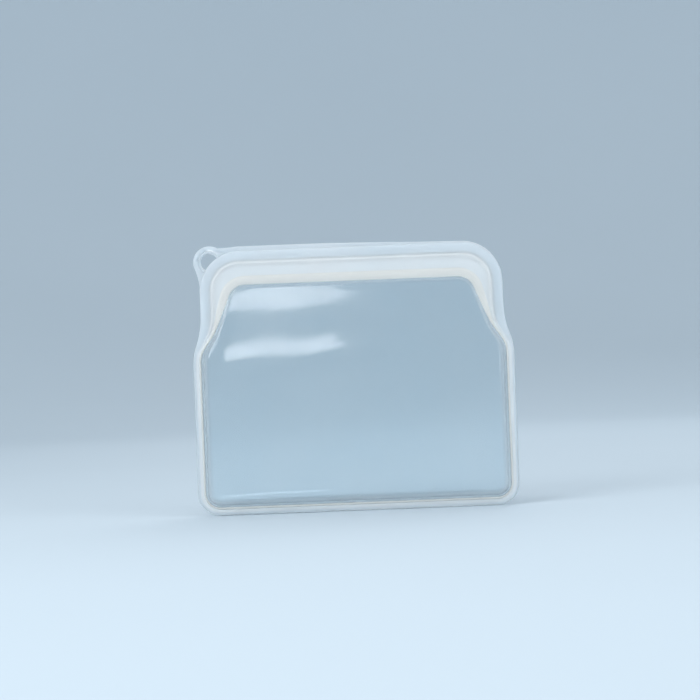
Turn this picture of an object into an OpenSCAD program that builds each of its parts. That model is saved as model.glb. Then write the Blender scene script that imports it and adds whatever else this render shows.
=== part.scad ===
// Reusable silicone storage bag with a press-to-close arched mouth and a hang tab.
// Frame: X across the width, Y front (-) to back (+), Z up. The origin is the
// middle of the hang hole; the bag hangs below and to the right of it.

/* [Body] */
// Width of the pouch across both side seams
body_w = 200; // [196:1:206]
// Height of the shoulder line, where the mouth begins
shoulder_z = 100; // [99:0.5:101]
// Outer radius of the bottom corners
corner_r = 14; // [12:1:18]
// Half of the moulded depth, seam plane to outer wall
half_depth = 7.5; // [7:0.1:9]
// Thickness of the clear walls
wall_t = 1.0; // [0.8:0.1:1.2]
// Width of the flat seam rim
rim_w = 5; // [4:0.5:6]
// Thickness of one half of the seam rim
rim_t = 1.6; // [1.2:0.1:1.9]
// Height of the raised line along the seam
bead_h = 0.8; // [0.4:0.1:1.0]

/* [Mouth] */
// Width across the mouth, above the shoulders
mouth_w = 188.4; // [186:0.2:190]
// Height of the front lip above the bottom edge
front_h = 164; // [162:0.5:165]
// How much taller the rear lip is
rear_lift = 3; // [2:0.5:4]
// Radius of the lip's upper corners
lip_r = 25; // [24:0.5:26]
// Width of the pull lip outside the closure
lip_w = 5.5; // [5:0.1:6]
// Height of the clear window's top edge
window_top = 143; // [142:0.5:144]
// Thickness of the frosted mouth band
band_t = 1.2; // [1.0:0.1:1.4]
// Seam plane to the inner face of the band
band_in = 1.25; // [1.2:0.05:1.5]

/* [Closure] */
// Width of each channel rail
rail_w = 1.2; // [1.0:0.1:1.3]
// Clear width of a channel between its rails
slot_w = 2.3; // [2.2:0.1:2.5]
// Width of a closure rib
rib_w = 1.6; // [1.4:0.1:1.7]
// How far ribs and rails pass the seam plane
engage = 0.7; // [0.5:0.05:0.8]
// Height of the raised line on the outside
ridge_h = 0.5; // [0.3:0.1:0.6]

/* [Hang tab] */
// Hang hole position left of the bag's middle
hole_x = 87.7; // [87:0.1:88.5]
// Hang hole height above the bottom edge
hole_z = 157.7; // [157:0.1:158.5]
// Radius of the hang hole
hole_r = 5.2; // [4.8:0.1:5.4]
// Radius of the ring round the hang hole
tab_r = 10; // [9.5:0.1:10.5]
// Radius of the collar round the hole
collar_r = 6.8; // [6.5:0.1:7]
// Length of the collar along the hole
collar_l = 2.9; // [2.4:0.1:3]

/* [Hidden] */

gap = 0.15;                          // half of the gap left at the shoulder line
z_lo = shoulder_z - gap;             // top of the pouch
z_hi = shoulder_z + gap;             // bottom of both mouth halves
hw = body_w / 2;                     // half width of the pouch
mw = mouth_w / 2;                    // half width of the mouth
band_out = band_in + band_t;         // seam plane to the outer face of the band
neck_z = shoulder_z + 20;            // where the shoulder curve ends
cx = mw - lip_r;                     // centre of the lip's corner
cz = front_h - lip_r;
win_cx = 66.3;                       // centre of the window's corner
win_r = 10;
win_cz = window_top - win_r;
win_side_z = win_cz - 2;             // top of the window's slanted side
slope_lo = 4;                        // width of the wall's rounding at the shoulder
slope_hi = 0.8;                      // and at the window's top
wall_d = 10;                         // seam edge to flat wall
mid_collar = band_in + band_t / 2;   // middle of the collar along Y

silicone_frost = [0.86, 0.90, 0.93, 0.85];
silicone_clear = [0.74, 0.82, 0.88, 0.55];
silicone_cream = [0.90, 0.90, 0.88, 0.90];

// ---- outlines, in X and Z -------------------------------------------------

function mirror_path(p) = [for (i = [len(p) - 1 : -1 : 0]) [-p[i][0], p[i][1]]];
function back(p) = [for (i = [len(p) - 1 : -1 : 0]) p[i]];

// half width of the outer edge at height z: an S from the pouch to the mouth
function side_x(z) =
    z <= shoulder_z - 2 ? hw :
    z >= neck_z ? mw :
    mw + (hw - mw) * (1 + cos(180 * (z - shoulder_z + 2) / (neck_z - shoulder_z + 2))) / 2;

side_zs = [z_hi, 103, 106, 109, 112, 115, 118, 122, 128, 134];

// the arch of the mouth, d inside the edge; lift raises its top
function arch(d, lift, from = 0) =
    let (half = concat(
        [for (i = [from : len(side_zs) - 1]) [side_x(side_zs[i]) - d, side_zs[i]]],
        [for (a = [0 : 7.5 : 90]) [cx + (lip_r - d) * cos(a), cz + lift + (lip_r - d) * sin(a)]]))
    concat(half, mirror_path(half));

// half width of the flat part of the clear wall at height z
function win_x(z) =
    let (t = (z - shoulder_z) / (win_side_z - shoulder_z))
    (hw - wall_d) - (hw - wall_d - win_cx - win_r) * pow(max(t, 0), 0.8);

win_n = 8;
function win_z(i) = z_hi + (win_side_z - z_hi) * i / win_n;
function slope_w(z) = slope_hi + (slope_lo - slope_hi) * (win_side_z - z) / (win_side_z - z_hi);

// right half of the window's edge, e outside it
function win_side(e) = [for (i = [0 : win_n]) [win_x(win_z(i)) + e * slope_w(win_z(i)), win_z(i)]];
function win_corner(e, a0) = [for (a = [a0 : (90 - a0) / 12 : 90.001])
    [win_cx + (win_r + e) * cos(a), win_cz + (win_r + e) * sin(a)]];
function win_half(e) = concat(win_side(e), win_corner(0, 4));
function window(e) = let (h = win_half(e)) concat(h, mirror_path(h));

// the inner closure runs round the window's top, e outside the window
function inner_arch(e) = let (h = win_corner(e, -12)) concat(h, mirror_path(h));

// outer face of the mouth wall at height z, measured from the seam plane
function bulge(z) = band_out + (half_depth - band_out) * (window_top - z) / (window_top - shoulder_z);

// the sides and bottom of the pouch, d inside the edge, from the right top round to the left top
function cup(d) =
    let (half = concat(
        [[side_x(z_lo) - d, z_lo], [side_x(shoulder_z - 1) - d, shoulder_z - 1], [hw - d, shoulder_z - 2]],
        [for (a = [0 : 11.25 : 90]) [hw - corner_r + (corner_r - d) * cos(a),
                                     corner_r - (corner_r - d) * sin(a)]]))
    concat(half, mirror_path(half));

// ---- builders -------------------------------------------------------------

module place() translate([hole_x, -mid_collar, -hole_z]) children();

// a flat outline between y0 and y1
module plate(y0, y1) translate([0, y1, 0]) rotate([90, 0, 0]) linear_extrude(y1 - y0) children();

// a flat strip between two paths of equal direction
module ribbon(outer, inner) polygon(concat(outer, back(inner)));

// a closed body through a list of equal rings of points
module loft(rings) {
    m = len(rings[0]);
    n = len(rings);
    polyhedron(
        points = [for (r = rings) for (p = r) p],
        faces = concat(
            [[for (j = [0 : m - 1]) j]],
            [for (i = [0 : n - 2]) for (j = [0 : m - 1])
                [i * m + j, (i + 1) * m + j, (i + 1) * m + (j + 1) % m]],
            [for (i = [0 : n - 2]) for (j = [0 : m - 1])
                [i * m + j, (i + 1) * m + (j + 1) % m, i * m + (j + 1) % m]],
            [[for (j = [m - 1 : -1 : 0]) (n - 1) * m + j]]));
}

// s is -1 for the front half and 1 for the rear half
module half(s) if (s < 0) children(); else mirror([0, 1, 0]) children();

module flat_wall(s) {
    inner = cup(wall_d);
    half(s) plate(-half_depth, -half_depth + wall_t) polygon(inner);
}

// the seam rim and the rounding from it up to the wall
module seam_rim(s) {
    ds = [0, 0, rim_w, wall_d, wall_d, rim_w + 0.3];
    ys = [0, -rim_t, -rim_t, -half_depth, -half_depth + wall_t, 0];
    paths = [for (d = ds) cup(d)];
    half(s) loft([for (i = [0 : len(paths[0]) - 1])
        [for (k = [0 : 5]) [paths[k][i][0], ys[k], paths[k][i][1]]]]);
}

module seam_bead(s)
    half(s) plate(-rim_t - bead_h, -rim_t) ribbon(cup(rim_w - 1.2), cup(rim_w - 0.2));

// the sloping clear wall under the arch, with its two rounded sides
module mouth_wall(s) {
    w = window(0);
    f = win_side(1);
    n = len(w);
    m = win_n + 1;
    // first index of the outer and inner slope points, right side then left side
    ro = 2 * n;
    ri = ro + m;
    lo = ri + m;
    li = lo + m;
    half(s) polyhedron(
        points = concat(
            [for (p = w) [p[0], -bulge(p[1]), p[1]]],
            [for (p = w) [p[0], -bulge(p[1]) + wall_t, p[1]]],
            [for (p = f) [p[0], -band_out, p[1]]],
            [for (p = f) [p[0], -band_in, p[1]]],
            [for (p = f) [-p[0], -band_out, p[1]]],
            [for (p = f) [-p[0], -band_in, p[1]]]),
        faces = concat(
            [[for (j = [n - 1 : -1 : 0]) j]],
            [[for (j = [0 : n - 1]) n + j]],
            [[0, ro, ri, n, 2 * n - 1, li, lo, n - 1]],
            [[ri + win_n, ro + win_n, win_n, n + win_n],
             [li + win_n, 2 * n - 1 - win_n, n - 1 - win_n, lo + win_n]],
            [for (j = [win_n : n - 2 - win_n]) [j, j + 1, n + j + 1]],
            [for (j = [win_n : n - 2 - win_n]) [j, n + j + 1, n + j]],
            [for (i = [0 : win_n - 1]) each [
                [ro + i, i, i + 1], [ro + i, i + 1, ro + i + 1],
                [ri + i, ri + i + 1, n + i + 1], [ri + i, n + i + 1, n + i],
                [ro + i, ro + i + 1, ri + i + 1], [ro + i, ri + i + 1, ri + i],
                [lo + i, n - 2 - i, n - 1 - i], [lo + i, lo + i + 1, n - 2 - i],
                [li + i, 2 * n - 2 - i, li + i + 1], [li + i, 2 * n - 1 - i, 2 * n - 2 - i],
                [lo + i, li + i + 1, lo + i + 1], [lo + i, li + i, li + i + 1]]]));
}

module mouth_band(s)
    half(s) plate(-band_out, -band_in) ribbon(arch(lip_w, 0), window(1));

module grip_ridge(s)
    half(s) plate(-band_out - ridge_h, -band_out)
        ribbon(arch(lip_w + rail_w, 0, 3), arch(lip_w + rail_w + slot_w, 0, 3));

module hole_2d(r) translate([-hole_x, hole_z]) circle(r = r, $fn = 96);

// ---- pouch ----------------------------------------------------------------

module front_wall() color(silicone_clear) place() flat_wall(-1);
module rear_wall() color(silicone_clear) place() flat_wall(1);
module front_rim() color(silicone_frost) place() seam_rim(-1);
module rear_rim() color(silicone_frost) place() seam_rim(1);
module front_seam_bead() color(silicone_cream) place() seam_bead(-1);
module rear_seam_bead() color(silicone_cream) place() seam_bead(1);

// ---- front half of the mouth ----------------------------------------------

module front_mouth_wall() color(silicone_clear) place() mouth_wall(-1);
module front_mouth_band() color(silicone_frost) place() mouth_band(-1);
module front_pull_lip() color(silicone_frost) place()
    plate(-band_out, -band_in) ribbon(arch(0, 0), arch(lip_w, 0));
module front_grip_ridge() color(silicone_cream) place() grip_ridge(-1);

module outer_zip_channel() color(silicone_cream) place()
    for (d = [lip_w, lip_w + rail_w + slot_w])
        plate(-band_in, engage) ribbon(arch(d, 0, 4), arch(d + rail_w, 0, 4));

module inner_zip_channel() color(silicone_cream) place()
    for (e = [1, 1 + rail_w + slot_w])
        plate(-band_in, engage) ribbon(inner_arch(e + rail_w), inner_arch(e));

// ---- rear half of the mouth -----------------------------------------------

module rear_mouth_wall() color(silicone_clear) place() mouth_wall(1);
module rear_mouth_band() color(silicone_frost) place() mouth_band(1);
module rear_pull_lip() color(silicone_frost) place()
    plate(band_in, band_out) difference() {
        ribbon(arch(0, rear_lift), arch(lip_w, 0));
        hole_2d(collar_r);
    }
module rear_grip_ridge() color(silicone_cream) place() grip_ridge(1);

module outer_zip_rib() color(silicone_cream) place()
    plate(-engage, band_in) ribbon(
        arch(lip_w + rail_w + (slot_w - rib_w) / 2, 0, 4),
        arch(lip_w + rail_w + (slot_w + rib_w) / 2, 0, 4));

module inner_zip_rib() color(silicone_cream) place()
    plate(-engage, band_in) ribbon(
        inner_arch(1 + rail_w + (slot_w + rib_w) / 2),
        inner_arch(1 + rail_w + (slot_w - rib_w) / 2));

// the ring and the webs that join it to the lip's corner
module hang_tab() color(silicone_frost) place()
    plate(band_in, band_out) difference() {
        union() {
            hole_2d(tab_r);
            polygon([
                [-hole_x + tab_r * cos(208), hole_z + tab_r * sin(208)],
                [-mw, cz + 1], [-mw + 12, cz + 1], [-cx - 4, front_h - 4],
                [-cx - 2, front_h + rear_lift - 0.01],
                [-hole_x + tab_r * cos(64), hole_z + tab_r * sin(64)]]);
        }
        polygon(concat(arch(0, rear_lift), [[0, shoulder_z]]));
        hole_2d(collar_r);
    }

module eyelet_collar() color(silicone_frost) place()
    plate(mid_collar - collar_l / 2, mid_collar + collar_l / 2) difference() {
        hole_2d(collar_r);
        hole_2d(hole_r);
    }

front_wall();
rear_wall();
front_rim();
rear_rim();
front_seam_bead();
rear_seam_bead();
front_mouth_wall();
front_mouth_band();
front_pull_lip();
front_grip_ridge();
outer_zip_channel();
inner_zip_channel();
rear_mouth_wall();
rear_mouth_band();
rear_pull_lip();
rear_grip_ridge();
outer_zip_rib();
inner_zip_rib();
hang_tab();
eyelet_collar();
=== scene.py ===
import math

import bmesh
import bpy
import numpy as np
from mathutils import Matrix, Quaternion, Vector


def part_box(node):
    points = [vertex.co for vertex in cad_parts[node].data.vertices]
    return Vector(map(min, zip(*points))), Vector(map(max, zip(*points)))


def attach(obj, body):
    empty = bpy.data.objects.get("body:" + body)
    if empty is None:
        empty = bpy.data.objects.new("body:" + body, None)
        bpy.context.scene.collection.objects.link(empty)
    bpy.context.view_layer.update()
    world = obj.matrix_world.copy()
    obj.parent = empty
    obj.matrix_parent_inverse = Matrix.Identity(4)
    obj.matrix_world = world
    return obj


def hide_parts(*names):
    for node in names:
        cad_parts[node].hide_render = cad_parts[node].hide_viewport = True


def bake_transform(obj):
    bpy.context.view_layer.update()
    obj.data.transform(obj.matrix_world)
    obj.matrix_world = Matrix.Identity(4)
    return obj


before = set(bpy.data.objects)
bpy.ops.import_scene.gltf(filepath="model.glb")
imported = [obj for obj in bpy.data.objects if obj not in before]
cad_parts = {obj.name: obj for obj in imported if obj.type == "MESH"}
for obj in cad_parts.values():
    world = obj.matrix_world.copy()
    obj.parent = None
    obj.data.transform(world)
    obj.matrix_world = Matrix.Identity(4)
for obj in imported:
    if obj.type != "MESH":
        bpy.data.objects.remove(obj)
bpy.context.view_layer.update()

# ---------------------------------------------------------------------------
# The bag's own frame, in millimetres: x from its middle, z up from its bottom
# edge, w outwards from the seam plane (towards -Y in front, +Y behind).
# ---------------------------------------------------------------------------
rim_low, rim_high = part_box("front_rim")
X0 = (rim_low[0] + rim_high[0]) / 2
Y0 = rim_high[1]
Z0 = rim_low[2]


def place(x, w, z, side):
    """side is -1 for the front half and 1 for the rear half."""
    return (X0 + x / 1000.0, Y0 + side * w / 1000.0, Z0 + z / 1000.0)


def place_all(p, side):
    p = np.asarray(p, float)
    out = np.empty_like(p)
    out[:, 0] = X0 + p[:, 0] / 1000.0
    out[:, 1] = Y0 + side * p[:, 1] / 1000.0
    out[:, 2] = Z0 + p[:, 2] / 1000.0
    return out


def sm(a, b, x):
    t = np.clip((np.asarray(x, float) - a) / (b - a), 0.0, 1.0)
    return t * t * (3 - 2 * t)


# ---------------------------------------------------------------------------
# Feature lines of one half, from the outer edge inwards. Each runs round the
# whole half: both sides, the arch of the mouth and the bottom.
# ---------------------------------------------------------------------------
HALF_W, MOUTH_W = 100.0, 94.2
CORNER = (86.0, 14.0, 14.0)           # centre and radius of the bottom corner
WIN = (66.0, 132.0)                   # centre of the window's upper corner


ZS = np.linspace(0.0, 150.0, 1501)


def table(zs, xs, soft=1.6):
    """A smooth function through a few heights and values."""
    y = np.interp(ZS, zs, xs)
    n = int(soft * 4 / 0.1)
    k = np.exp(-0.5 * (np.arange(-n, n + 1) * 0.1 / soft) ** 2)
    k /= k.sum()
    y = np.convolve(np.pad(y, n, mode="edge"), k, mode="valid")
    return lambda z: np.interp(z, ZS, y)


side_x = table([94, 97, 100, 103, 106, 109, 112, 115, 118, 122, 127],
               [HALF_W, 99.95, 99.6, 98.85, 97.7, 96.55, 95.7, 95.05, 94.65, 94.35, MOUTH_W], 1.8)
win_edge = table([90, 97, 101, 105, 109, 113, 121, 136], [95, 95, 94.2, 91.7, 88.7, 86.0, 82.3, 76.35], 1.9)
ridge_out = table([97, 101, 106, 112, 118, 126], [1.9, 2.2, 3.2, 4.9, 5.9, 6.3])
ridge_in = table([97, 101, 106, 112, 118, 126], [2.9, 3.2, 4.4, 6.5, 8.2, 8.9])
cream_w = table([101, 106, 112, 116, 121, 126, 133], [1.15, 1.35, 1.8, 2.3, 3.1, 4.1, 5.0])
round_w = table([100, 106, 112, 121, 133], [5.5, 5.0, 4.2, 3.2, 2.5])

LINES = {
    # side at height z, inset of the bottom corner, top corner's centre, radius and first angle
    "edge": (side_x, 0.0, (69.2, 139.0, 25.0, 0.0)),
    "ridge_a": (lambda z: side_x(z) - ridge_out(z), 1.9, (69.2, 139.0, 18.7, 0.0)),
    "ridge_b": (lambda z: side_x(z) - ridge_in(z), 2.9, (69.2, 139.0, 16.1, 0.0)),
    "cream": (lambda z: win_edge(z) + cream_w(z), 3.85, (WIN[0], WIN[1], 16.0, 16.0)),
    "window": (win_edge, 5.0, (WIN[0], WIN[1], 11.0, 20.0)),
    "wall": (lambda z: win_edge(z) - round_w(z), 10.5, (WIN[0], WIN[1], 8.5, 20.0)),
}
N_CORNER, N_LOW, N_SHOULDER, N_UP, N_FLAT = 10, 26, 24, 6, 46
NZ = 2 * N_CORNER + N_LOW + N_SHOULDER + N_UP
NX = 2 * N_CORNER + N_FLAT
N = 2 * (NX + NZ)


def line(name, lift=0.0):
    """The closed path of a feature line: up the right side, over the top, down the left, along the bottom."""
    side, inset, (tx, tz, tr, a0) = LINES[name]
    bx, bz, br = CORNER[0], CORNER[1], CORNER[2] - inset
    tz = tz + lift
    right = []
    for j in range(N_CORNER):
        a = math.radians(-45 + 45 * j / N_CORNER)
        right.append((bx + br * math.cos(a), bz + br * math.sin(a)))
    for j in range(N_LOW):
        z = bz + (94.0 - bz) * j / N_LOW
        right.append((float(side(z)), z))
    for j in range(N_SHOULDER):
        z = 94.0 + 32.0 * j / N_SHOULDER
        right.append((float(side(z)), z))
    first = math.radians(a0)
    end = (tx + tr * math.cos(first), tz + tr * math.sin(first))
    z_end = end[1]
    for j in range(N_UP):
        z = 126.0 + (z_end - 126.0) * j / N_UP
        t = sm(126.0, z_end, z)
        right.append((float(side(z)) * (1 - t) + (end[0] + (z_end - z) * math.tan(first)) * t, z))
    for j in range(N_CORNER):
        a = first + (math.pi / 4 - first) * j / N_CORNER
        right.append((tx + tr * math.cos(a), tz + tr * math.sin(a)))
    top = []
    for j in range(N_CORNER):
        a = math.pi / 4 + math.pi / 4 * j / N_CORNER
        top.append((tx + tr * math.cos(a), tz + tr * math.sin(a)))
    for j in range(N_FLAT + 1):
        top.append((tx - 2 * tx * j / N_FLAT, tz + tr))
    for j in range(N_CORNER - 1):
        a = math.pi / 2 + math.pi / 4 * (j + 1) / N_CORNER
        top.append((-tx + tr * math.cos(a), tz + tr * math.sin(a)))
    corner = (tx + tr * math.cos(math.pi / 4), tz + tr * math.sin(math.pi / 4))
    ups = right + [corner]
    left = [(-ups[NZ - j][0], ups[NZ - j][1]) for j in range(NZ)]
    bottom = []
    for j in range(N_CORNER):
        a = math.radians(225 + 45 * j / N_CORNER)
        bottom.append((-bx + br * math.cos(a), bz + br * math.sin(a)))
    for j in range(N_FLAT + 1):
        bottom.append((-bx + 2 * bx * j / N_FLAT, bz - br))
    for j in range(N_CORNER - 1):
        a = math.radians(270 + 45 * (j + 1) / N_CORNER)
        bottom.append((bx + br * math.cos(a), bz + br * math.sin(a)))
    path = np.array(right + top + left + bottom, float)
    assert len(path) == N, (len(path), N)
    if lift:                                     # the taller lip sinks a little towards the corner without the tab
        path[:, 1] -= 1.9 * sm(126, 160, path[:, 1]) * sm(-30, 75, path[:, 0])
    return path


# ---------------------------------------------------------------------------
# Heights over the seam plane
# ---------------------------------------------------------------------------
def flange_out(z):
    return 1.6 + 0.85 * sm(99, 117, z)


def flange_in(z):
    return 0.03 + 1.22 * sm(99, 117, z)


def wall_base(z):
    return 2.38 + 3.95 * (1 - sm(84, 146, z)) / (1 - sm(84, 146, 84.0))


N_SLOPE = 9


def haze_and_light_zone(i):
    """The rounding is rougher and a little milkier than the thin wall it leads to; its lighter tint is painted light
    standing for the light its curve refracts.
    """
    return "haze_and_light" if i <= 6 else "clear"


def build_half(side, lift):
    """The rings of one half, outer skin first. Returns vertices in bag millimetres, faces and each face's zone."""
    E, A, B, C, W, L = (line(n, lift if n == "edge" else 0.0) for n in ("edge", "ridge_a", "ridge_b", "cream", "window", "wall"))
    ref_z = E[:, 1]
    up = sm(101, 112, A[:, 1])                   # 1 round the mouth, 0 round the pouch
    ridge_h = 0.30 * up
    cream_h = 0.75 + (0.38 - 0.75) * sm(99, 118, C[:, 1])
    fo, fi = flange_out(ref_z), flange_in(ref_z)
    one = 1 - sm(99, 110, ref_z)                 # 1 where both halves share one rounded rim, 0 round the mouth
    mid = (fo + fi) / 2 * (1 - one) + (fi + 0.02) * one
    lip = A - E
    lip_len = np.linalg.norm(lip, axis=1)

    def from_edge(mm):
        return E + lip * (np.minimum(mm, lip_len * 0.8) / lip_len)[:, None]

    r = (fo - fi) / 2
    thin = 0.12 * up * (1 - 0)                   # the lip tapers slightly towards its edge
    outer = []                                   # (xz, w, zone of the strip before it)
    outer.append((E, mid, "lip"))
    for mm, lip_w, rim_w in ((0.10, r * 1.55, 0.43), (0.30, r * 1.86, 0.70), (0.62, 2 * r - 0.02, 0.91), (1.05, 2 * r, 1.0)):
        outer.append((from_edge(mm), fi + (lip_w - thin) * (1 - one) + (fo - fi) * rim_w * one, "lip"))
    flat = from_edge(1.05)
    for t in (0.3, 0.6, 0.88):
        outer.append((flat + (A - flat) * t, fo - thin * (0.8 - 0.8 * t), "lip"))
    for t, h in ((0.0, 0.04), (0.16, 0.22), (0.32, 0.56), (0.46, 0.86), (0.58, 1.0), (0.70, 0.90), (0.84, 0.48), (1.0, 0.06)):
        outer.append((A + (B - A) * t, fo + ridge_h * h, "lip" if t < 0.2 else "ridge"))
    for t in (0.12, 0.4, 0.7, 0.94):
        outer.append((B + (C - B) * t, fo + 0.0 * fo, "frost"))
    for t, h in ((0.0, 0.10), (0.07, 0.45), (0.18, 0.82), (0.34, 1.0), (0.6, 1.0), (0.8, 0.9), (0.93, 0.55)):
        outer.append((C + (W - C) * t, fo + cream_h * h, "cream"))
    outer.append((W, fo + 0.02, "cream"))
    wl = wall_base(L[:, 1])
    for i in range(1, N_SLOPE + 1):
        t = i / N_SLOPE
        outer.append((W + (L - W) * t, fo + (wl - fo) * math.sin(t * math.pi / 2) ** 0.92, haze_and_light_zone(i)))
    # inner skin of the flat zones, at matching places
    inner = []
    for mm, lip_w in ((0.10, r * 0.45 + thin), (0.30, r * 0.14 + thin), (0.62, 0.02 + thin)):
        inner.append((from_edge(mm), fi + lip_w * (1 - one), "lip"))
    for t in (0.5, 1.0):
        inner.append((E + lip * t, fi + 0.0, "lip"))
    inner.append((B, fi + 0.0, "frost"))
    inner.append((C, fi + 0.0, "frost"))
    inner.append((C + (W - C) * 0.9, fi + 0.0, "cream"))

    verts, faces, zones = [], [], []

    def add_ring(xz, w):
        first = len(verts)
        w = np.broadcast_to(w, (N,))
        verts.extend((float(p[0]), float(h), float(p[1])) for p, h in zip(xz, w))
        return first

    def strip(a, b, zone, flip):
        for i in range(N):
            j = (i + 1) % N
            q = (a + i, a + j, b + j, b + i)
            faces.append(q[::-1] if flip else q)
            zones.append(zone)

    # grid inside the wall line
    def patch(ring_first, flip, thickness):
        us, vs = np.arange(NX + 1), np.arange(NZ + 1)
        R = [ring_first + i for i in range(NZ + 1)]
        T = [ring_first + NZ + NX - i for i in range(NX + 1)]          # left to right
        Lf = [ring_first + (2 * NZ + NX - i) for i in range(NZ + 1)]   # bottom to top
        Bt = [ring_first + (2 * NZ + NX + i) % N for i in range(NX + 1)]
        P = np.array(verts, float)[:, [0, 2]]
        Hh = np.array(verts, float)[:, 1]
        grid = [[None] * (NX + 1) for _ in range(NZ + 1)]
        for k in range(NX + 1):
            grid[0][k], grid[NZ][k] = Bt[k], T[k]
        for k in range(NZ + 1):
            grid[k][0], grid[k][NX] = Lf[k], R[k]
        for a in range(1, NZ):
            v = a / NZ
            for b in range(1, NX):
                u = b / NX
                p = ((1 - v) * P[Bt[b]] + v * P[T[b]] + (1 - u) * P[Lf[a]] + u * P[R[a]]
                     - (1 - u) * (1 - v) * P[Bt[0]] - u * (1 - v) * P[Bt[NX]]
                     - (1 - u) * v * P[T[0]] - u * v * P[T[NX]])
                crown = (1 - abs(2 * u - 1) ** 2.8) * (1 - abs(2 * v - 1) ** 2.8)
                x, z = p
                low = 1 - float(sm(96, 143, z)) * 0.75
                wave = (0.16 * math.sin(x * 0.051 + 0.7 + z * 0.013) + 0.12 * math.sin(z * 0.083 - x * 0.021 + side * 1.3)
                        + 0.07 * math.sin(x * 0.11 - z * 0.07 + 2.1 * side))
                h = float(wall_base(z)) + crown * (1.15 * low + wave)
                grid[a][b] = len(verts)
                verts.append((float(x), h - thickness, float(z)))
        for a in range(NZ):
            for b in range(NX):
                q = (grid[a][b], grid[a][b + 1], grid[a + 1][b + 1], grid[a + 1][b])
                faces.append(q if not flip else q[::-1])
                zones.append("clear")

    # outer skin: rings run inwards, and seen from outside the path goes anticlockwise
    firsts = [add_ring(xz, w) for xz, w, _ in outer]
    for k in range(1, len(firsts)):
        strip(firsts[k - 1], firsts[k], outer[k][2], True if side < 0 else False)
    patch(firsts[-1], side > 0, 0.0)

    # inner skin
    ring0 = firsts[0]
    ifirsts = [ring0] + [add_ring(xz, w) for xz, w, _ in inner]
    for k in range(1, len(ifirsts)):
        strip(ifirsts[k - 1], ifirsts[k], inner[k - 1][2], False if side < 0 else True)
    # under the rounding the wall keeps its thickness
    prev = ifirsts[-1]
    t_wall = 1.0
    d = L - W
    run = np.linalg.norm(d, axis=1)
    start = W + d * (np.minimum(t_wall, 0.5 * run) / run)[:, None]
    for i in range(1, N_SLOPE + 1):
        t = i / N_SLOPE
        cur = add_ring(start + (L - start) * t, fi + (wl - t_wall - fi) * math.sin(t * math.pi / 2) ** 0.92)
        strip(prev, cur, haze_and_light_zone(i), False if side < 0 else True)
        prev = cur
    patch(prev, side < 0, t_wall)
    return np.array(verts, float), faces, zones


# ---------------------------------------------------------------------------
# Materials
# ---------------------------------------------------------------------------
def new_material(name):
    m = bpy.data.materials.new(name)
    m.use_nodes = True
    nt = m.node_tree
    nt.nodes.clear()
    out = nt.nodes.new("ShaderNodeOutputMaterial")
    b = nt.nodes.new("ShaderNodeBsdfPrincipled")
    nt.links.new(b.outputs[0], out.inputs[0])
    return m, nt, b


def noise(nt, scale, detail=3.0, rough=0.5, vector=None):
    n = nt.nodes.new("ShaderNodeTexNoise")
    n.inputs["Scale"].default_value = scale
    n.inputs["Detail"].default_value = detail
    n.inputs["Roughness"].default_value = rough
    if vector is not None:
        nt.links.new(vector, n.inputs["Vector"])
    return n.outputs["Fac"]


def ramp(nt, fac, lo, hi, a=0.0, b=1.0):
    n = nt.nodes.new("ShaderNodeMapRange")
    n.inputs["From Min"].default_value = a
    n.inputs["From Max"].default_value = b
    n.inputs["To Min"].default_value = lo
    n.inputs["To Max"].default_value = hi
    nt.links.new(fac, n.inputs["Value"])
    return n.outputs["Result"]


def tint(nt, fac, c0, c1):
    n = nt.nodes.new("ShaderNodeValToRGB")
    n.color_ramp.elements[0].color = (*c0, 1)
    n.color_ramp.elements[1].color = (*c1, 1)
    n.color_ramp.elements[0].position = 0.3
    n.color_ramp.elements[1].position = 0.7
    nt.links.new(fac, n.inputs["Fac"])
    return n.outputs["Color"]


def bump(nt, b, height, strength, distance):
    n = nt.nodes.new("ShaderNodeBump")
    n.inputs["Strength"].default_value = strength
    n.inputs["Distance"].default_value = distance
    nt.links.new(height, n.inputs["Height"])
    nt.links.new(n.outputs["Normal"], b.inputs["Normal"])


def silicone(name, c0, c1, see, rough_lo, rough_hi, grain, grain_height, spec=0.5, coat=0.0):
    m, nt, b = new_material(name)
    co = nt.nodes.new("ShaderNodeTexCoord").outputs["Object"]
    cloud = noise(nt, 22.0, 3.0, 0.55, co)
    nt.links.new(tint(nt, cloud, c0, c1), b.inputs["Base Color"])
    smear = noise(nt, 60.0, 4.0, 0.6, co)
    nt.links.new(ramp(nt, smear, rough_lo, rough_hi, 0.3, 0.7), b.inputs["Roughness"])
    fine = noise(nt, grain, 2.0, 0.5, co)
    bump(nt, b, fine, 0.35, grain_height)
    b.inputs["Transmission Weight"].default_value = see
    b.inputs["IOR"].default_value = 1.41
    b.inputs["Specular IOR Level"].default_value = spec
    b.inputs["Coat Weight"].default_value = coat
    b.inputs["Coat Roughness"].default_value = 0.12
    return m


M_CLEAR = silicone("clear_silicone", (0.84, 0.91, 0.945), (0.86, 0.92, 0.95), 0.925, 0.06, 0.12, 420.0, 0.00003)
# painted light: the rounding's lighter tint stands for light refracted by its curve; the rougher, less clear finish
# is the silicone's own
M_HAZE_AND_LIGHT = silicone("haze_and_light_silicone", (0.87, 0.93, 0.96), (0.90, 0.945, 0.97), 0.85, 0.10, 0.17, 420.0, 0.00003)
M_LIP = silicone("lip_silicone", (0.87, 0.93, 0.965), (0.91, 0.95, 0.975), 0.70, 0.28, 0.40, 1500.0, 0.00004)
M_FROST = silicone("frosted_silicone", (0.91, 0.955, 0.975), (0.95, 0.975, 0.985), 0.54, 0.34, 0.48, 1500.0, 0.00005)
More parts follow.
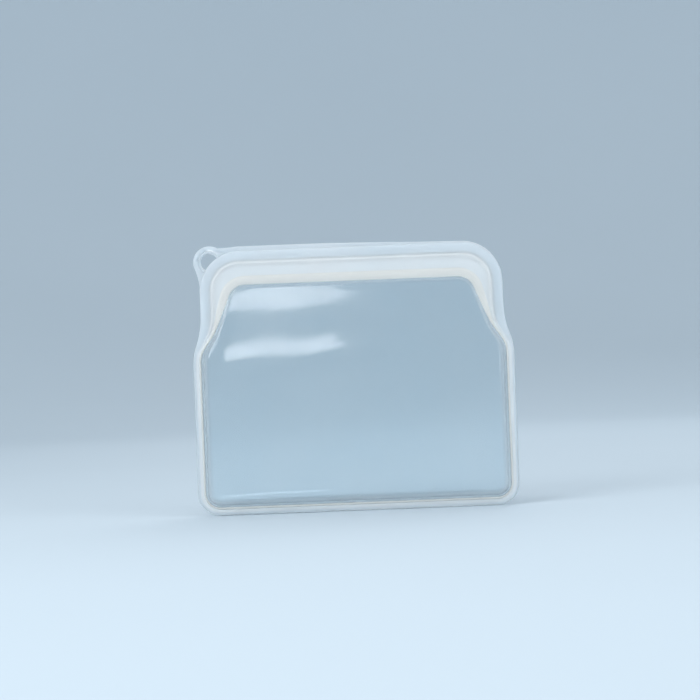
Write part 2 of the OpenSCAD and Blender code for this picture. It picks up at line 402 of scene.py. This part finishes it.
# painted highlight: the ridge's whiter tint stands for the light line along the grip ridge; its lower clarity is the
# thicker silicone's own
M_RIDGE_HIGHLIGHT = silicone("ridge_highlight_silicone", (0.935, 0.965, 0.972), (0.96, 0.977, 0.983), 0.535, 0.30, 0.42, 1500.0, 0.00004)
M_CREAM = silicone("closure_silicone", (0.93, 0.93, 0.895), (0.955, 0.955, 0.925), 0.50, 0.30, 0.42, 1500.0, 0.00004)
MATS = {"clear": M_CLEAR, "haze_and_light": M_HAZE_AND_LIGHT, "lip": M_LIP, "frost": M_FROST, "ridge": M_RIDGE_HIGHLIGHT, "cream": M_CREAM}
ZONES = list(MATS)


def make_object(name, verts, faces, mats, index=None, smooth=True):
    me = bpy.data.meshes.new(name)
    me.from_pydata([tuple(v) for v in verts], [], [tuple(f) for f in faces])
    for m in mats:
        me.materials.append(m)
    if index is not None:
        me.polygons.foreach_set("material_index", index)
    me.polygons.foreach_set("use_smooth", [smooth] * len(me.polygons))
    me.update()
    ob = bpy.data.objects.new(name, me)
    bpy.context.collection.objects.link(ob)
    return ob


def fix_normals(ob):
    bm = bmesh.new()
    bm.from_mesh(ob.data)
    bmesh.ops.recalc_face_normals(bm, faces=bm.faces)
    open_edges = sum(1 for e in bm.edges if len(e.link_faces) != 2)
    bm.to_mesh(ob.data)
    bm.free()
    if open_edges:
        print("open or shared edges on", ob.name, open_edges)


def half_object(name, side, lift):
    verts, faces, zones = build_half(side, lift)
    ob = make_object(name, place_all(verts, side), faces, list(MATS.values()), [ZONES.index(z) for z in zones])
    fix_normals(ob)
    return ob


front = half_object("front_half", -1, 0.0)
rear = half_object("rear_half", 1, 3.0)

# ---------------------------------------------------------------------------
# Hang tab: a ring and two webs, one piece with the rear lip's corner
# ---------------------------------------------------------------------------
HX, HZ, TAB_R, HOLE_R, COLLAR_R = -87.7, 157.7, 10.0, 5.2, 6.8


def bezier(p0, p1, p2, n):
    return [((1 - t) ** 2 * p0[0] + 2 * t * (1 - t) * p1[0] + t * t * p2[0],
             (1 - t) ** 2 * p0[1] + 2 * t * (1 - t) * p1[1] + t * t * p2[1]) for t in [i / n for i in range(n + 1)]]


def tab_outline():
    a_top, a_left = math.radians(58), math.radians(196)
    arc = [(HX + TAB_R * math.cos(a), HZ + TAB_R * math.sin(a)) for a in np.linspace(a_top, a_left, 40)]
    p_left, p_top = arc[-1], arc[0]
    left = bezier(p_left, (-94.3, 148.0), (-93.9, 138.0), 10)[1:]
    top = bezier((-70.0, 166.7), (-78.0, 166.4), p_top, 10)[:-1]
    inside = [(-88.0, 137.0), (-76.0, 146.0), (-70.0, 158.0)]
    return arc + left + inside + top


def extruded(name, outline, w0, w1, side, mat, bevel=0.0):
    bm = bmesh.new()
    lo = [bm.verts.new(place(x, w0, z, side)) for x, z in outline]
    f = bm.faces.new(lo)
    got = bmesh.ops.extrude_face_region(bm, geom=[f])
    up = [v for v in got["geom"] if isinstance(v, bmesh.types.BMVert)]
    bmesh.ops.translate(bm, verts=up, vec=Vector((0, side * (w1 - w0) / 1000.0, 0)))
    bmesh.ops.recalc_face_normals(bm, faces=bm.faces)
    if bevel:
        rims = [e for e in bm.edges if abs(e.verts[0].co.y - e.verts[1].co.y) < 1e-7]
        bmesh.ops.bevel(bm, geom=rims, offset=bevel / 1000.0, segments=3, profile=0.5, affect="EDGES", clamp_overlap=True)
    me = bpy.data.meshes.new(name)
    bm.to_mesh(me)
    bm.free()
    me.materials.append(mat)
    me.polygons.foreach_set("use_smooth", [True] * len(me.polygons))
    ob = bpy.data.objects.new(name, me)
    bpy.context.collection.objects.link(ob)
    return ob


def boolean(target, other, how):
    mod = target.modifiers.new("join", "BOOLEAN")
    mod.operation = how
    mod.solver = "EXACT"
    mod.object = other
    dg = bpy.context.evaluated_depsgraph_get()
    me = bpy.data.meshes.new_from_object(target.evaluated_get(dg), preserve_all_data_layers=True, depsgraph=dg)
    target.modifiers.clear()
    old = target.data
    target.data = me
    bpy.data.meshes.remove(old)
    bpy.data.objects.remove(other)


tab = extruded("tab", tab_outline(), 1.29, 2.41, 1, M_LIP, 0.32)
boolean(rear, tab, "UNION")
drill = extruded("drill", [(HX + (COLLAR_R - 0.25) * math.cos(a), HZ + (COLLAR_R - 0.25) * math.sin(a))
                           for a in np.linspace(0, 2 * math.pi, 97)[:-1]], -0.6, 5.0, 1, M_LIP)
boolean(rear, drill, "DIFFERENCE")


def sweep(name, path, profile, side, mats, taper=1.2):
    """A rounded profile (a across the path, w over the seam plane) along an open path, with its ends drawn in."""
    path = np.array(path, float)
    d = np.gradient(path, axis=0)
    d /= np.linalg.norm(d, axis=1)[:, None]
    nrm = np.stack([d[:, 1], -d[:, 0]], axis=1)
    run = np.concatenate([[0], np.cumsum(np.linalg.norm(np.diff(path, axis=0), axis=1))])
    total = run[-1]
    prof = np.array(profile, float)
    m = len(prof)
    base_w = prof[:, 1].max()
    verts, faces = [], []
    for i, p in enumerate(path):
        k = min(run[i], total - run[i]) / taper
        s = math.sqrt(max(0.0, 1 - (1 - min(k, 1.0)) ** 2)) * 0.9 + 0.1
        for a, w in prof:
            q = p + nrm[i] * a * s
            verts.append(place(q[0], base_w + (w - base_w) * s, q[1], side))
    for i in range(len(path) - 1):
        for j in range(m):
            faces.append((i * m + j, (i + 1) * m + j, (i + 1) * m + (j + 1) % m, i * m + (j + 1) % m))
    faces.append(tuple(range(m)))
    faces.append(tuple(range((len(path) - 1) * m, len(path) * m))[::-1])
    ob = make_object(name, verts, faces, mats)
    fix_normals(ob)
    return ob


def arch_path(d, z_from=112.0):
    """The mouth's arch, d inside the front lip's edge, from the right shoulder to the left one."""
    half = [(float(side_x(z)) - d, z) for z in np.concatenate([[z_from, z_from + 0.25, z_from + 0.6, z_from + 1.2], np.linspace(z_from + 3, 136, 9)])]
    half += [(69.2 + (25 - d) * math.cos(a), 139 + (25 - d) * math.sin(a)) for a in np.linspace(0, math.pi / 2, 22)]
    flat = [(x, 164 - d) for x in np.linspace(62, -62, 26)]
    return half + flat + [(-x, z) for x, z in half[::-1]]


def inner_path(e):
    a0 = math.radians(-8)
    arc = [(66.3 + (10 + e) * math.cos(a), 133 + (10 + e) * math.sin(a)) for a in
           np.concatenate([[a0, a0 + 0.015, a0 + 0.04, a0 + 0.08], np.linspace(a0 + 0.16, math.pi / 2, 18)])]
    flat = [(x, 143 + e) for x in np.linspace(60, -60, 26)]
    return arc + flat + [(-x, z) for x, z in arc[::-1]]


RAIL = [(-0.52, 1.32), (-0.52, 0.2), (-0.56, -0.25), (-0.46, -0.55), (-0.22, -0.68), (0.22, -0.68),
        (0.46, -0.55), (0.56, -0.25), (0.52, 0.2), (0.52, 1.32)]
RIB = [(-0.48, 1.32), (-0.46, 0.35), (-0.62, 0.05), (-0.78, -0.2), (-0.66, -0.5), (-0.3, -0.69), (0.3, -0.69),
       (0.66, -0.5), (0.78, -0.2), (0.62, 0.05), (0.46, 0.35), (0.48, 1.32)]


def joined(name, parts):
    bm = bmesh.new()
    for p in parts:
        bm.from_mesh(p.data)
    me = parts[0].data.copy()
    bm.to_mesh(me)
    bm.free()
    me.name = name
    ob = bpy.data.objects.new(name, me)
    bpy.context.collection.objects.link(ob)
    for p in parts:
        bpy.data.objects.remove(p)
    return ob


outer_channel = joined("outer_zip_channel_soft", [sweep("r1", arch_path(6.1), RAIL, -1, [M_CREAM]), sweep("r2", arch_path(9.6), RAIL, -1, [M_CREAM])])
inner_channel = joined("inner_zip_channel_soft", [sweep("r3", inner_path(1.6), RAIL, -1, [M_CREAM]), sweep("r4", inner_path(5.1), RAIL, -1, [M_CREAM])])
outer_rib = sweep("outer_zip_rib_soft", arch_path(7.85), RIB, 1, [M_CREAM])
inner_rib = sweep("inner_zip_rib_soft", inner_path(3.35), RIB, 1, [M_CREAM])

# collar round the hole
ring = []
for a in np.linspace(0, 2 * math.pi, 40)[:-1]:
    c, s = math.cos(a), math.sin(a)
    ring.append((6.0 + 0.8 * (abs(c) ** 0.6) * (1 if c > 0 else -1), 1.85 + 1.45 * (abs(s) ** 0.6) * (1 if s > 0 else -1)))
verts, faces = [], []
TURNS = 96
for i in range(TURNS):
    a = 2 * math.pi * i / TURNS
    verts += [place(HX + r * math.cos(a), w, HZ + r * math.sin(a), 1) for r, w in ring]
m = len(ring)
for i in range(TURNS):
    for j in range(m):
        a, b = i * m, ((i + 1) % TURNS) * m
        faces.append((a + j, b + j, b + (j + 1) % m, a + (j + 1) % m))
collar = make_object("eyelet_collar_soft", verts, faces, [M_LIP])
fix_normals(collar)

# ---------------------------------------------------------------------------
# What rides on what
# ---------------------------------------------------------------------------
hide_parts("front_wall", "front_rim", "front_seam_bead", "front_mouth_wall", "front_mouth_band", "front_pull_lip", "front_grip_ridge")
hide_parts("rear_wall", "rear_rim", "rear_seam_bead", "rear_mouth_wall", "rear_mouth_band", "rear_pull_lip", "rear_grip_ridge", "hang_tab")
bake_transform(front)
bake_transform(rear)
for ob, node, body in ((outer_channel, "outer_zip_channel", "front_flap"), (inner_channel, "inner_zip_channel", "front_flap"),
                       (outer_rib, "outer_zip_rib", "rear_flap"), (inner_rib, "inner_zip_rib", "rear_flap"),
                       (collar, "eyelet_collar", "rear_flap")):
    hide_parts(node)
    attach(ob, body)

# ---------------------------------------------------------------------------
# Stage, light and camera
# ---------------------------------------------------------------------------
m, nt, b = new_material("studio_floor")
floor_co = nt.nodes.new("ShaderNodeTexCoord").outputs["Object"]
nt.links.new(tint(nt, noise(nt, 1.5, 2.0, 0.5, floor_co), (0.505, 0.595, 0.665), (0.52, 0.61, 0.68)), b.inputs["Base Color"])
b.inputs["Roughness"].default_value = 0.85
b.inputs["Specular IOR Level"].default_value = 0.2
prof = [(0.0, 0.0), (0.6, 0.0), (1.1, 0.0), (1.6, 0.0)]
prof += [(1.6 + 1.5 * math.sin(a), 1.5 - 1.5 * math.cos(a)) for a in np.linspace(0, math.pi / 2, 21)[1:]]
prof += [(3.1, 1.7)]
verts, faces = [(0, 0, 0)], []
SEG = 96
for r, h in prof[1:]:
    verts += [(r * math.cos(2 * math.pi * i / SEG), r * math.sin(2 * math.pi * i / SEG), h) for i in range(SEG)]
for i in range(SEG):
    faces.append((0, 1 + i, 1 + (i + 1) % SEG))
for k in range(len(prof) - 2):
    for i in range(SEG):
        a, c = 1 + k * SEG, 1 + (k + 1) * SEG
        faces.append((a + i, c + i, c + (i + 1) % SEG, a + (i + 1) % SEG))
floor = make_object("floor", [(X0 + x, Y0 + y, Z0 - 0.0002 + z) for x, y, z in verts], faces, [m])

world = bpy.data.worlds.new("studio")
bpy.context.scene.world = world
world.use_nodes = True
world.node_tree.nodes["Background"].inputs[0].default_value = (0.93, 0.965, 1.0, 1)
world.node_tree.nodes["Background"].inputs[1].default_value = 0.85


def area(name, at, aim, size, power, size_y=None, roll=0.0):
    L = bpy.data.lights.new(name, "AREA")
    L.energy = power
    L.size = size
    if size_y:
        L.shape = "RECTANGLE"
        L.size_y = size_y
    ob = bpy.data.objects.new(name, L)
    ob.location = at
    ob.rotation_mode = "QUATERNION"
    ob.rotation_quaternion = (Vector(aim) - Vector(at)).to_track_quat("-Z", "Y") @ Quaternion((0, 0, 1), math.radians(roll))
    bpy.context.collection.objects.link(ob)


mid = Vector((X0, Y0, Z0 + 0.09))
area("key", mid + Vector((-1.0, -1.35, 0.8)), mid, 0.9, 14)
area("fill", mid + Vector((1.2, -1.2, 0.5)), mid, 1.2, 8)
area("back", mid + Vector((0.4, 1.3, 1.0)), mid, 1.2, 5)
area("strip", mid + Vector((-0.25, -0.5, 1.1)), mid + Vector((0, 0, 0.02)), 0.9, 3, 0.12)
area("glare", mid + Vector((-0.15, -2.0, 0.40)), mid, 0.30, 1.1, 0.2, 20)

cam = bpy.data.objects.new("camera", bpy.data.cameras.new("camera"))
bpy.context.collection.objects.link(cam)
bpy.context.scene.camera = cam
D = 1.5
VIEW_W = 0.4354                       # width seen at the bag's plane
aim = Vector(place(-2.2, 0, 99.8, -1))
cam.location = aim + Vector((0, -D, 0))
cam.rotation_mode = "QUATERNION"
roll = math.radians(2.25)
cam.rotation_quaternion = Vector((0, 1, 0)).to_track_quat("-Z", "Y") @ Quaternion((0, 0, 1), -roll)
cam.data.sensor_width = 36.0
cam.data.lens = 18.0 / (VIEW_W / 2 / D)
cam.data.clip_start, cam.data.clip_end = 0.05, 20.0
cam.data.dof.use_dof = False
bpy.context.scene.view_settings.view_transform = "Standard"
